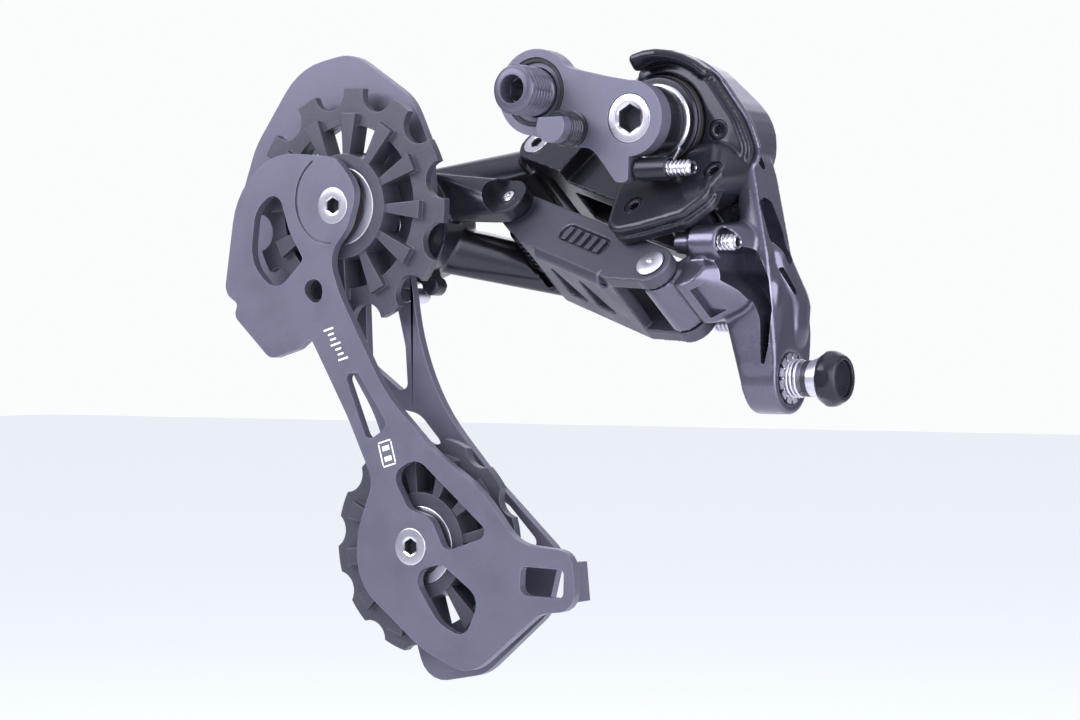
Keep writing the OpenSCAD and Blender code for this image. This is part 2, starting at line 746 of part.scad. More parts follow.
module upper_pulley_wheel() {
    color("#30303a") in_cage() pulley_wheel([0, 0], upper_tip_r, 26.5 - cage_lean);
}
module lower_pulley_wheel() {
    color("#30303a") in_cage() pulley_wheel(lower_pulley_uv, lower_tip_r, 9.7 - cage_lean);
}
module bearing_ring(at) {
    tube_y(at, -1.9, 4.2, 5.85, 8.15);
}
module upper_bearing_ring() {
    color("#d4d5dc") in_cage() bearing_ring([0, 0]);
}
module lower_bearing_ring() {
    color("#d4d5dc") in_cage() bearing_ring(lower_pulley_uv);
}
module bearing_balls(at) {
    for (i = [0:8])
        translate([at.x + 4.93 * cos(i * 40), 1.15, at.y + 4.93 * sin(i * 40)]) sphere(r = 0.85);
}
module upper_bearing_balls() {
    color("#e2e2e8") in_cage() bearing_balls([0, 0]);
}
module lower_bearing_balls() {
    color("#e2e2e8") in_cage() bearing_balls(lower_pulley_uv);
}
module bearing_shields(at) {
    tube_y(at, -1.9, -1.3, 4.08, 5.8);
    tube_y(at, 3.6, 4.2, 4.08, 5.8);
}
module upper_bearing_shields() {
    color("#17171b") in_cage() bearing_shields([0, 0]);
}
module lower_bearing_shields() {
    color("#17171b") in_cage() bearing_shields(lower_pulley_uv);
}

// ---------- the nodes ----------

hanger_link();
hanger_bolt();
hanger_bolt_seal();
pivot_bolt();
pivot_sleeve();
pivot_clip();
upper_body_shell();
upper_body_cover();
cover_screws();
pivot_bush();
pivot_spring();
pivot_collar();
stop_plate();
stop_screw();
limit_screw_high();
limit_screw_low();
adjuster_barrel();
adjuster_spring();
adjuster_detent();
rear_pins();
inner_link();
return_spring();
outer_link();
cable_clamp_plate();
cable_clamp_bolt();
lower_body();
lower_body_cap();
front_pins();
cage_bush();
cage_spring();
cage_dust_seal();
inner_cage_plate();
outer_cage_plate();
cage_axle();
cage_axle_clip();
cage_stop_pin();
upper_pulley_bolt();
upper_bearing_sleeve();
lower_pulley_bolt();
lower_bearing_sleeve();
upper_pulley_wheel();
upper_bearing_ring();
upper_bearing_balls();
upper_bearing_shields();
lower_pulley_wheel();
lower_bearing_ring();
lower_bearing_balls();
lower_bearing_shields();
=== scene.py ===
"""Looks of the rear bicycle derailleur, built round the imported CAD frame.

Shapes are made in millimetres in the CAD's own frame and scaled to metres when each piece is finished.
"""
import json
import math

import bmesh
import bpy
from mathutils import Matrix, Vector


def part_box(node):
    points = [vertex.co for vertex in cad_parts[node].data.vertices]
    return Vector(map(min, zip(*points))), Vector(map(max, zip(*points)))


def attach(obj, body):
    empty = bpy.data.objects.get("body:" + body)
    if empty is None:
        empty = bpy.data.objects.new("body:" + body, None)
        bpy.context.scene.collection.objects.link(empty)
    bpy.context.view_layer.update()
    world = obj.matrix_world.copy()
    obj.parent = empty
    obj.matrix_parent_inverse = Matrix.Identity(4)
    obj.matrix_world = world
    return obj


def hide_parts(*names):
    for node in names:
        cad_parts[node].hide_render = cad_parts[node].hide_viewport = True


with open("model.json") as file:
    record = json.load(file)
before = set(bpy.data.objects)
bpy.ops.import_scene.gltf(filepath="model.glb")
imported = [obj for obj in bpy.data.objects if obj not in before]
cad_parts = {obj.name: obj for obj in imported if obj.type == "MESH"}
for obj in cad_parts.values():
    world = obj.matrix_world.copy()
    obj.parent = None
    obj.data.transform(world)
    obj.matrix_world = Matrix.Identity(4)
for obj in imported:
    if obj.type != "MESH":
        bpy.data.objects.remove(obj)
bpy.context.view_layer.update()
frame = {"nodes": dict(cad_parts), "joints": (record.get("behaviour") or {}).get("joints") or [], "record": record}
NODES = frame["nodes"]
JOINTS = {joint["name"]: joint for joint in frame["joints"]}
SLOT_OF = {part["node"]: part["material_slot"] for part in frame["record"]["subparts"]}
BODIES = frame["record"]["behaviour"]["bodies"]
BODY_OF = {node: body for body, nodes in BODIES.items() for node in nodes}
MM = 0.001
TAU = 2 * math.pi

# Edges sharper than this many degrees stay sharp in shading, and the width of the bevel on kept CAD nodes
SHARP_ANGLE = 40
EDGE_WIDTH = 0.25


# ---------- places, from the frame's joints ----------

def joint_point(name):
    return Vector(JOINTS[name]["pos_m"]) / MM


def basis(origin, x, y, z):
    """The matrix of a local frame, from its origin and axes."""
    return Matrix.Translation(origin) @ Matrix((x, y, z)).transposed().to_4x4()


def along_y(point):
    """A frame whose Z is the axis parallel to Y through a point; heights on it are the CAD's Y.

    The point is (x, z) or (x, y, z).
    """
    origin = Vector((point[0], 0, point[-1]))
    return basis(origin, Vector((1, 0, 0)), Vector((0, 0, -1)), Vector((0, 1, 0)))


def along_x(y, z):
    """The same for an axis parallel to X; heights on it are the CAD's X."""
    return basis(Vector((0, y, z)), Vector((0, 1, 0)), Vector((0, 0, 1)), Vector((1, 0, 0)))


KNUCKLE = joint_point("hanger_pivot")
CAGE_PIVOT = joint_point("cage_pivot")
UPPER = joint_point("upper_pulley_spin")
LOWER = joint_point("lower_pulley_spin")

# The cage's frame: X across it, Y outboard, Z up its length
CAGE_UP = Vector((UPPER.x - LOWER.x, 0, UPPER.z - LOWER.z)).normalized()
CAGE_ACROSS = Vector((CAGE_UP.z, 0, -CAGE_UP.x))
CAGE = basis(Vector((UPPER.x, 0, UPPER.z)), CAGE_ACROSS, Vector((0, 1, 0)), CAGE_UP)

# The linkage's frames: X along a link at rest, Z along the pins, height 0 at the top of the link's rear eye
PIN = Vector(JOINTS["rear_inner_pivot"]["axis"])
INNER_EYE_TOP = 9.5
OUTER_EYE_TOP = 7.0
REAR_1 = joint_point("rear_inner_pivot") + PIN * INNER_EYE_TOP
REAR_2 = joint_point("rear_outer_pivot") + PIN * OUTER_EYE_TOP
FRONT_1 = joint_point("front_inner_pivot")
LINK_X = PIN.cross((FRONT_1 - REAR_1).cross(PIN)).normalized()
LINK_LEN = (FRONT_1 - REAR_1).dot(LINK_X)
INNER_LINK = basis(REAR_1, LINK_X, PIN.cross(LINK_X), PIN)
OUTER_LINK = basis(REAR_2, LINK_X, PIN.cross(LINK_X), PIN)

# From a link's rear pin to its front pin
FRONT_PINS = Matrix.Translation((LINK_LEN, 0, 0))

# The upper body's frame about the first rear pin, in which the links point at LINK_DIR degrees
LINK_DIR = 147
LINKAGE = INNER_LINK @ Matrix.Rotation(-math.radians(LINK_DIR), 4, "Z")


# ---------- mesh helpers ----------

def object_from(name, bm):
    bmesh.ops.recalc_face_normals(bm, faces=bm.faces)
    mesh = bpy.data.meshes.new(name)
    bm.to_mesh(mesh)
    bm.free()
    piece = bpy.data.objects.new(name, mesh)
    bpy.context.scene.collection.objects.link(piece)
    return piece


def apply_modifiers(piece):
    graph = bpy.context.evaluated_depsgraph_get()
    graph.update()
    mesh = bpy.data.meshes.new_from_object(piece.evaluated_get(graph))
    piece.modifiers.clear()
    piece.data = mesh


def remesh(piece, voxel):
    modifier = piece.modifiers.new("remesh", "REMESH")
    modifier.mode = "VOXEL"
    modifier.voxel_size = voxel
    apply_modifiers(piece)


def relax(piece, times):
    modifier = piece.modifiers.new("relax", "SMOOTH")
    modifier.factor = 0.5
    modifier.iterations = times
    apply_modifiers(piece)


def combine(piece, bm, operation):
    """Adds or takes away one closed shape."""
    tool = object_from("tool", bm)
    modifier = piece.modifiers.new("combine", "BOOLEAN")
    modifier.object = tool
    modifier.operation = operation
    modifier.solver = "MANIFOLD"
    apply_modifiers(piece)
    bpy.data.objects.remove(tool)


def cut(piece, *shapes):
    for bm in shapes:
        combine(piece, bm, "DIFFERENCE")


def add(piece, *shapes):
    for bm in shapes:
        combine(piece, bm, "UNION")


def cad_copy(name, node):
    """A welded copy of a CAD node's mesh, in millimetres."""
    bm = bmesh.new()
    bm.from_mesh(NODES[node].data)
    bmesh.ops.transform(bm, matrix=Matrix.Scale(1 / MM, 4), verts=bm.verts)
    bmesh.ops.remove_doubles(bm, verts=bm.verts, dist=0.0005)
    return object_from(name, bm)


def join(name, *objects):
    """One object from several."""
    bm = bmesh.new()
    for piece in objects:
        bm.from_mesh(piece.data)
        bpy.data.objects.remove(piece)
    return object_from(name, bm)


def finish_piece(piece, body, material, nodes=()):
    """Scales a piece to metres, shades it, gives it its look, hangs it on the body it rides on and hides the CAD
    nodes it stands for.
    """
    piece.data.transform(Matrix.Scale(MM, 4))
    piece.data.shade_smooth()
    piece.data.set_sharp_from_angle(angle=math.radians(SHARP_ANGLE))
    piece.data.materials.clear()
    piece.data.materials.append(material)
    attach(piece, body)
    if nodes:
        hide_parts(*nodes)


# ---------- closed shapes ----------

def ball(x, y, z, r):
    """Points over a ball, for a hull."""
    points = [Vector((x, y, z + r)), Vector((x, y, z - r))]
    for i in range(1, 8):
        for k in range(16):
            tilt, turn = math.pi * i / 8, TAU * (k + 0.5 * (i % 2)) / 16
            points.append(Vector((x + r * math.sin(tilt) * math.cos(turn),
                                  y + r * math.sin(tilt) * math.sin(turn),
                                  z + r * math.cos(tilt))))
    return points


def ring(place, height, r):
    """Points round a circle, for a hull."""
    count = 40
    return [place @ Vector((r * math.cos(TAU * k / count), r * math.sin(TAU * k / count), height))
            for k in range(count)]


def hull(*groups):
    """The convex hull of groups of points."""
    bm = bmesh.new()
    for group in groups:
        for point in group:
            bm.verts.new(point)
    bmesh.ops.convex_hull(bm, input=bm.verts)
    loose = [v for v in bm.verts if not v.link_faces]
    bmesh.ops.delete(bm, geom=loose, context="VERTS")
    return bm


def balls(*shapes):
    """Hull of several balls, each given as (x, y, z, radius)."""
    return hull(*[ball(*shape) for shape in shapes])


def rod(place, h0, h1, r):
    return hull(ring(place, h0, r), ring(place, h1, r))


def round_outline(corners, steps=8):
    """Points of a closed outline whose corners (x, y, radius) are rounded."""
    points = []
    count = len(corners)
    for i, (x, y, radius) in enumerate(corners):
        corner = Vector((x, y))
        before = Vector(corners[i - 1][:2]) - corner
        after = Vector(corners[(i + 1) % count][:2]) - corner
        half = before.angle(after) / 2
        reach = min(radius / math.tan(half), before.length * 0.49, after.length * 0.49)
        radius = reach * math.tan(half)
        a, b = before.normalized(), after.normalized()
        centre = corner + (a + b).normalized() * radius / math.sin(half)
        start, end = corner + a * reach - centre, corner + b * reach - centre
        turn = math.atan2(start.x * end.y - start.y * end.x, start.dot(end))
        for k in range(steps + 1):
            angle = turn * k / steps
            points.append(centre + Vector((start.x * math.cos(angle) - start.y * math.sin(angle),
                                           start.x * math.sin(angle) + start.y * math.cos(angle))))
    return points


def prism(place, outline, h0, h1):
    """An outline drawn in a frame's X-Y and extruded along its Z."""
    bm = bmesh.new()
    low = [bm.verts.new(place @ Vector((p[0], p[1], h0))) for p in outline]
    high = [bm.verts.new(place @ Vector((p[0], p[1], h1))) for p in outline]
    caps = [bm.faces.new(low), bm.faces.new(high)]
    for i in range(len(outline)):
        bm.faces.new((low[i - 1], low[i], high[i], high[i - 1]))
    bmesh.ops.triangulate(bm, faces=caps)
    bmesh.ops.recalc_face_normals(bm, faces=bm.faces)
    return bm


def box(place, low, high):
    """A box in a local frame, from its lowest and highest corners."""
    outline = [(low[0], low[1]), (high[0], low[1]), (high[0], high[1]), (low[0], high[1])]
    return prism(place, outline, low[2], high[2])


# X-Z plane as a frame for prisms along Y, in the CAD's frame and in the cage's
WORLD_XZ = Matrix(((1, 0, 0, 0), (0, 0, 1, 0), (0, 1, 0, 0), (0, 0, 0, 1)))
CAGE_XZ = CAGE @ WORLD_XZ


def lathe(name, rings, place, steps=96, tube=False):
    """A turned solid from its rings, each (radius, height).

    A radius may be a function of the angle, and a radius of 0 is a point on the axis. A tube's last ring
    joins its first.
    """
    bm = bmesh.new()
    rows = []
    for radius, height in rings:
        if radius == 0:
            rows.append([bm.verts.new(place @ Vector((0, 0, height)))])
            continue
        row = []
        for k in range(steps):
            angle = TAU * k / steps
            r = radius(angle) if callable(radius) else radius
            row.append(bm.verts.new(place @ Vector((r * math.cos(angle), r * math.sin(angle), height))))
        rows.append(row)
    pairs = list(zip(rows, rows[1:]))
    if tube:
        pairs.append((rows[-1], rows[0]))
    for a, b in pairs:
        for k in range(steps):
            j = (k + 1) % steps
            if len(a) == 1:
                bm.faces.new((a[0], b[k], b[j]))
            elif len(b) == 1:
                bm.faces.new((a[k], b[0], a[j]))
            else:
                bm.faces.new((a[k], a[j], b[j], b[k]))
    return object_from(name, bm)


def soften(profile, size=0.2):
    """Rounds the corners of a turned profile of plain radii; its two ends stay."""
    steps = 3
    rings = [profile[0]]
    for before, corner, after in zip(profile, profile[1:], profile[2:]):
        c = Vector(corner)
        a, b = Vector(before) - c, Vector(after) - c
        reach = min(size, a.length * 0.45, b.length * 0.45)
        a, b = c + a.normalized() * reach, c + b.normalized() * reach
        for k in range(steps + 1):
            t = k / steps
            rings.append(tuple(a * (1 - t) ** 2 + c * 2 * t * (1 - t) + b * t * t))
    rings.append(profile[-1])
    return rings


def hexagon(across):
    """Radius of a hexagon by its angle."""
    def radius(angle):
        return across / 2 / math.cos((angle + TAU / 12) % (TAU / 6) - TAU / 12)
    return radius


def thread(r, depth, pitch, h0, h1):
    """Rings of a screw thread that fades out at both ends."""
    rings_per_turn = 10
    flank, crest = 2.4, 0.9
    count = round((h1 - h0) / pitch * rings_per_turn)
    rings = []
    for i in range(count + 1):
        height = h0 + (h1 - h0) * i / count
        fade = min(1, 0.2 + (height - h0) / pitch, 0.2 + (h1 - height) / pitch)

        def radius(angle, height=height, fade=fade):
            wave = 1 - abs(2 * ((height / pitch - angle / TAU) % 1) - 1)
            return r - depth * (1 - fade * min(1, max(0, flank * wave - crest)))
        rings.append((radius, height))
    return rings


def coil(name, place, r, wire, h0, h1, turns, per_turn=40):
    """A wire coil of radius r, whose end turns lie nearly flat; wire is the wire's own radius."""
    sides, closed_turns, closed_rise = 12, 0.7, 0.08
    bm = bmesh.new()
    rows = []
    count = round(turns * per_turn)
    for i in range(count + 1):
        t = i / count
        angle = TAU * turns * t
        ease = min(1, max(0, (t * turns - closed_turns) / (turns - 2 * closed_turns)))
        height = h0 + wire + (h1 - h0 - 2 * wire) * (closed_rise * t + (1 - closed_rise) * ease)
        out = Vector((math.cos(angle), math.sin(angle), 0))
        row = []
        for k in range(sides):
            side = TAU * k / sides
            point = out * (r + wire * math.cos(side)) + Vector((0, 0, height + wire * math.sin(side)))
            row.append(bm.verts.new(place @ point))
        rows.append(row)
    for a, b in zip(rows, rows[1:]):
        for k in range(sides):
            bm.faces.new((a[k], a[k - 1], b[k - 1], b[k]))
    bm.faces.new(rows[0])
    bm.faces.new(rows[-1])
    return object_from(name, bm)


# ---------- materials ----------

def surface(name, colour, roughness, metallic=0.0, grain=900, spread=0.25, bump=0.25, wear_and_edge_highlight=None, coat=0.0):
    """A procedural finish: mottled colour, uneven gloss, fine bump and, with a wear colour, paler edges that are
    partly wear and partly a painted edge highlight.
    """
    material = bpy.data.materials.new(name)
    material.use_nodes = True
    tree = material.node_tree
    shader = tree.nodes["Principled BSDF"]
    shader.inputs["Metallic"].default_value = metallic
    shader.inputs["Coat Weight"].default_value = coat
    shader.inputs["Coat Roughness"].default_value = 0.12

    def node(kind, **values):
        made = tree.nodes.new(kind)
        for key, value in values.items():
            setattr(made, key, value)
        return made

    def noise(scale, detail):
        texture = node("ShaderNodeTexNoise")
        texture.inputs["Scale"].default_value = scale
        texture.inputs["Detail"].default_value = detail
        tree.links.new(place.outputs["Object"], texture.inputs["Vector"])
        return texture.outputs["Fac"]

    def spread_to(source, low, high):
        """Stretches the middle of a noise's range to low and high."""
        made = node("ShaderNodeMapRange")
        made.inputs["From Min"].default_value = 0.3
        made.inputs["From Max"].default_value = 0.7
        made.inputs["To Min"].default_value = low
        made.inputs["To Max"].default_value = high
        tree.links.new(source, made.inputs["Value"])
        return made.outputs["Result"]

    place = node("ShaderNodeTexCoord")
    broad = noise(60, 3)
    fine = noise(grain, 4)

    # Colour: a darker and a paler mix of the base colour by the broad and the fine noise
    tint = node("ShaderNodeMix", data_type="RGBA")
    tint.inputs["A"].default_value = (*[c * (1 - spread) for c in colour], 1)
    tint.inputs["B"].default_value = (*[min(1, c * (1 + spread)) for c in colour], 1)
    blend = node("ShaderNodeMath", operation="MULTIPLY_ADD")
    blend.inputs[1].default_value = 0.55
    tree.links.new(broad, blend.inputs[0])
    tree.links.new(spread_to(fine, 0.0, 0.45), blend.inputs[2])
    tree.links.new(blend.outputs[0], tint.inputs["Factor"])
    base = tint.outputs["Result"]

    # Worn edges with a painted edge highlight: a paler colour where a rounded copy of the surface turns away from
    # the true one
    if wear_and_edge_highlight:
        bevel = node("ShaderNodeBevel", samples=4)
        bevel.inputs["Radius"].default_value = 0.35 * MM
        geometry = node("ShaderNodeNewGeometry")
        dot = node("ShaderNodeVectorMath", operation="DOT_PRODUCT")
        edge = node("ShaderNodeMapRange")
        edge.inputs["From Min"].default_value = 0.985
        edge.inputs["From Max"].default_value = 0.86
        patch = node("ShaderNodeMath", operation="MULTIPLY")
        worn_and_lit_edge = node("ShaderNodeMix", data_type="RGBA")
        worn_and_lit_edge.inputs["B"].default_value = (*wear_and_edge_highlight, 1)
        tree.links.new(bevel.outputs["Normal"], dot.inputs[0])
        tree.links.new(geometry.outputs["Normal"], dot.inputs[1])
        tree.links.new(dot.outputs["Value"], edge.inputs["Value"])
        tree.links.new(edge.outputs["Result"], patch.inputs[0])
        tree.links.new(spread_to(noise(250, 4), 0.1, 0.8), patch.inputs[1])
        tree.links.new(patch.outputs[0], worn_and_lit_edge.inputs["Factor"])
        tree.links.new(base, worn_and_lit_edge.inputs["A"])
        base = worn_and_lit_edge.outputs["Result"]
    tree.links.new(base, shader.inputs["Base Color"])
    gloss = spread_to(noise(140, 5), roughness * 0.85, roughness * 1.2)
    tree.links.new(gloss, shader.inputs["Roughness"])

    relief = node("ShaderNodeBump")
    relief.inputs["Strength"].default_value = bump
    relief.inputs["Distance"].default_value = 0.02 * MM
    tree.links.new(fine, relief.inputs["Height"])
    tree.links.new(relief.outputs["Normal"], shader.inputs["Normal"])
    return material


# A finish's wear colour paints its edges paler: partly wear, partly a painted edge highlight
FINISHES = {
    "anodised_plate": dict(colour=(0.125, 0.127, 0.170), roughness=0.44, metallic=0.6, grain=2600,
                           spread=0.10, bump=0.5, wear_and_edge_highlight=(0.26, 0.26, 0.34)),
    "grey_link": dict(colour=(0.09, 0.09, 0.125), roughness=0.40, metallic=0.6, grain=2400,
                      spread=0.14, bump=0.4, wear_and_edge_highlight=(0.2, 0.2, 0.27)),
    "inner_forging": dict(colour=(0.058, 0.058, 0.080), roughness=0.42, metallic=0.5, grain=2400,
                          spread=0.16, bump=0.4, wear_and_edge_highlight=(0.2, 0.2, 0.27)),
    "satin_body": dict(colour=(0.105, 0.105, 0.145), roughness=0.30, metallic=0.85, grain=2000,
                       spread=0.16, bump=0.3, wear_and_edge_highlight=(0.3, 0.3, 0.38), coat=0.3),
    "black_body": dict(colour=(0.022, 0.022, 0.031), roughness=0.30, metallic=0.6, grain=2000,
                       spread=0.25, bump=0.25, wear_and_edge_highlight=(0.12, 0.12, 0.16), coat=0.2),
    "black_steel": dict(colour=(0.026, 0.026, 0.035), roughness=0.28, metallic=0.7, grain=3000,
                        spread=0.25, bump=0.3, wear_and_edge_highlight=(0.2, 0.2, 0.25)),
    # dark_socket is painted shade: a dull dark colour for linings put inside sockets and holes
    "dark_socket": dict(colour=(0.03, 0.03, 0.04), roughness=0.5, metallic=0.4, grain=3000,
                        spread=0.2, bump=0.2),
    "satin_steel": dict(colour=(0.6, 0.6, 0.68), roughness=0.36, metallic=0.9, grain=2200,
                        spread=0.12, bump=0.3),
    "silver_steel": dict(colour=(0.56, 0.56, 0.62), roughness=0.30, metallic=1.0, grain=1600,
                         spread=0.12, bump=0.3),
    "spring_steel": dict(colour=(0.4, 0.4, 0.44), roughness=0.34, metallic=1.0, grain=1800,
                         spread=0.15, bump=0.3),
    "bronze": dict(colour=(0.42, 0.28, 0.12), roughness=0.4, metallic=1.0, grain=2200,
                   spread=0.25, bump=0.5),
    "rubber": dict(colour=(0.016, 0.016, 0.018), roughness=0.62, grain=3200, spread=0.3, bump=0.6),
    "pulley_resin": dict(colour=(0.055, 0.056, 0.075), roughness=0.40, metallic=0.3, grain=1500,
                         spread=0.2, bump=0.35, wear_and_edge_highlight=(0.14, 0.14, 0.19)),
    "print": dict(colour=(0.78, 0.78, 0.82), roughness=0.5, grain=2600, spread=0.08, bump=0.3),
}
LOOKS = {look: surface(look, **values) for look, values in FINISHES.items()}


def dress(node):
    """Keeps a CAD node and gives it its finish and rounded edges."""
    piece = NODES[node]
    piece.data.materials.clear()
    piece.data.materials.append(LOOKS[SLOT_OF[node]])
    weld = piece.modifiers.new("weld", "WELD")
    weld.merge_threshold = 0.002 * MM
    flat = piece.modifiers.new("flat", "DECIMATE")
    flat.decimate_type = "DISSOLVE"
    flat.angle_limit = math.radians(0.4)
    edge = piece.modifiers.new("edge", "BEVEL")
    edge.width = EDGE_WIDTH * MM
    edge.segments = 3
    edge.limit_method = "ANGLE"
    edge.angle_limit = math.radians(42)
    edge.use_clamp_overlap = True
    normals = piece.modifiers.new("normals", "WEIGHTED_NORMAL")
    normals.keep_sharp = False


# ---------- turned and wound pieces ----------

def screw_place(node):
    """A screw's own frame, along the axis of its CAD node."""
    low, high = (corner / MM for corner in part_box(node))
    middle = (low + high) / 2
    return along_x(middle.y, middle.z)


def painted_socket_shade(name, body, place, across, mouth, floor):
    """Painted shade: a dark dull lining over the walls and floor of a hexagonal socket, from the heights of its
    mouth and its floor.
    """
    step = 0.3 if floor > mouth else -0.3
    rings = [(0, floor + step), (hexagon(across), floor + step), (hexagon(across), mouth + step)]
    rings += [(hexagon(across * 0.95), mouth + step), (hexagon(across * 0.93), floor - step), (0, floor)]
    finish_piece(lathe(name, rings, place), body, LOOKS["dark_socket"])


def make_bolts():
    """Hanger bolt, pivot bolt, pulley bolts and the small screws, with threads, chamfers and sockets."""
    steel = LOOKS["silver_steel"]
    hanger = along_y((0, 0))
    low, high = (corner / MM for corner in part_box("hanger_bolt"))
    socket = hexagon(5)
    rings = [(2.7, low.y + 0.3), (2.85, low.y), (3.9, low.y)]
    rings += [(4.2, low.y + 0.25)] + thread(4.95, 0.5, 1.0, low.y + 0.4, -0.1)
    rings += soften([(4.6, 0), (4.7, 0.3), (4.7, 3.65), (7, 3.65), (7, high.y), (3.4, high.y)], 0.35)
    rings += [(socket, high.y - 0.4), (socket, low.y + 3.5), (2.7, low.y + 3.45)]
    finish_piece(lathe("hanger_bolt_threaded", rings, hanger, tube=True), "hanger", LOOKS["grey_link"],
                 ["hanger_bolt"])

    # Black threaded neck of the hanger link's stop tab
    tab = along_y((9, -7.7))
    rings = [(2, -5.6), (3.1, -5.6)] + thread(3.45, 0.25, 0.9, -5.4, -0.9)
    rings += [(3.6, -0.8), (3.6, 0.05), (2, 0.05)]
    finish_piece(lathe("stop_tab_neck", rings, tab, tube=True), "hanger", LOOKS["black_steel"])

    rings = [(0, 3.5), (hexagon(4.9), 3.45), (socket, 0.35), (3.1, 0.05), (3.2, 0)]
    rings += soften([(3.3, 0), (4.8, 0), (4.8, 2.8), (3.5, 2.8), (3.5, 26.5), (3.1, 27), (0, 27)], 0.25)
    finish_piece(lathe("pivot_bolt_turned", rings, along_y(KNUCKLE)), "hanger", steel, ["pivot_bolt"])
    # Dark lining of the pivot bolt's socket: painted shade
    painted_socket_shade("pivot_bolt_socket_shade", "hanger", along_y(KNUCKLE), 4.98, 0.1, 3.1)

    for name, centre in (("upper", UPPER), ("lower", LOWER)):
        rings = [(0, -2.6), (hexagon(2.95), -2.65), (hexagon(3), -4.9), (1.95, -5.08), (2.1, -5.1)]
        rings += soften([(2.2, -5.1), (3.8, -5.1), (3.8, -2.9), (2.5, -2.9), (2.5, 7.1), (0, 7.1)], 0.2)
        bolt = lathe(name + "_bolt_turned", rings, along_y(centre))
        finish_piece(bolt, "cage", steel, [name + "_pulley_bolt"])
        # Dark lining of the pulley bolt's socket: painted shade
        painted_socket_shade(name + "_bolt_socket", "cage", along_y(centre), 2.98, -5.0, -2.9)

    for node in ("stop_screw", "limit_screw_high", "limit_screw_low"):
        tip, end = (corner.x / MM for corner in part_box(node))
        place = screw_place(node)
        rings = [(0, tip), (1.15, tip), (1.3, tip + 0.25)]
        rings += thread(1.6, 0.45, 0.9, tip + 0.4, end - 0.25)
        rings += [(1.25, end), (1.12, end), (hexagon(2), end - 0.12)]
        rings += [(hexagon(1.95), end - 1.9), (0, end - 2)]
        finish_piece(lathe(node + "_threaded", rings, place, steps=48), BODY_OF[node], steel, [node])
        # Dark lining of the screw's socket: painted shade
        painted_socket_shade(node + "_socket", BODY_OF[node], place, 1.98, end - 0.1, end - 1.8)


def make_adjuster():
    """Cable adjuster: hollow knob with flats, click spring and toothed click ring."""
    axis = joint_point("adjuster_turn")
    place = along_x(axis.y, axis.z)
    flats, corner_radius = hexagon(10.2), 5.4

    def knob(size):
        return lambda angle: min(size, flats(angle) * size / corner_radius)

    rings = [(1.2, 41.6), (2.6, 41.6)] + thread(3, 0.35, 1.0, 41.8, 48.6)
    rings += [(2.9, 48.8), (2.55, 50.2), (2.6, 50.9), (4.5, 55.7), (4.5, 56), (1.2, 56)]
    finish_piece(lathe("adjuster_neck", rings, place, tube=True), "adjuster", LOOKS["satin_steel"],
                 ["adjuster_barrel"])
    rings = [(3.4, 55.7), (4.55, 55.7), (4.75, 55.8), (knob(5.3), 56.5), (knob(5.4), 56.9)]
    rings += [(knob(5.4), 57.7), (knob(5.35), 58), (5.15, 58.6), (4.85, 59.1), (4.6, 59.6)]
    rings += [(4.3, 59.95), (4.0, 60)]
    rings += [(3.7, 59.9), (3.6, 59.6), (3.5, 55.9)]
    finish_piece(lathe("adjuster_knob", rings, place, tube=True), "adjuster", LOOKS["black_steel"],
                 ["adjuster_barrel"])
    # Dark dull lining of the knob's hole walls: painted shade
    rings = [(1.2, 52), (3.52, 52), (3.52, 59.2), (3.35, 59.2), (3.3, 54.6), (1.4, 54.2)]
    finish_piece(lathe("adjuster_bore_shade", rings, place, tube=True), "adjuster", LOOKS["dark_socket"])
    spring = coil("adjuster_coil", place, 3.45, 0.3, 48.82, 51.2, 3.2, per_turn=48)
    finish_piece(spring, "upper_body", LOOKS["silver_steel"], ["adjuster_spring"])

    def teeth(angle):
        outside, notch, count = 4.95, 1.1, 12
        return outside - notch * min(1, max(0, 4 * math.cos(count * angle) - 2.6))

    rings = [(3.15, 48.1), (3.7, 48.1), (teeth, 48.2), (teeth, 48.65), (3.7, 48.8), (3.15, 48.8)]
    ring_piece = lathe("adjuster_click_ring", rings, place, steps=240, tube=True)
    finish_piece(ring_piece, "upper_body", LOOKS["silver_steel"], ["adjuster_detent"])


def make_springs():
    """The knuckle spring, the cage spring and the linkage's return spring as wound wire."""
    knuckle = coil("pivot_spring_coil", along_y(KNUCKLE), 7.6, 1.15, 14.4, 23.2, 3.6)
    finish_piece(knuckle, "upper_body", LOOKS["spring_steel"], ["pivot_spring"])
    cage = coil("cage_spring_coil", along_y(CAGE_PIVOT), 7.25, 1.1, 9.4, 19.6, 4.2)
    finish_piece(cage, "lower_body", LOOKS["spring_steel"], ["cage_spring"])
    linkage = coil("return_spring_coil", INNER_LINK @ FRONT_PINS, 4.25, 0.52, -15, -4, 8.5)
    finish_piece(linkage, "inner_link", LOOKS["black_steel"], ["return_spring"])


def pin(place, low, top, head_r, head_h):
    """A linkage pin with a centre-marked head at its top."""
    neck = top - head_h
    rings = [(0, low), (1.9, low), (2.2, low + 0.3), (2.2, neck)]
    rings += [(head_r - 0.1, neck + 0.02), (head_r, neck + 0.1), (head_r - 0.1, top - 0.12)]
    rings += [(head_r - 0.4, top), (0.75, top), (0.55, top - 0.25), (0.3, top - 0.4), (0, top - 0.42)]
    return lathe("pin", rings, place, steps=64)


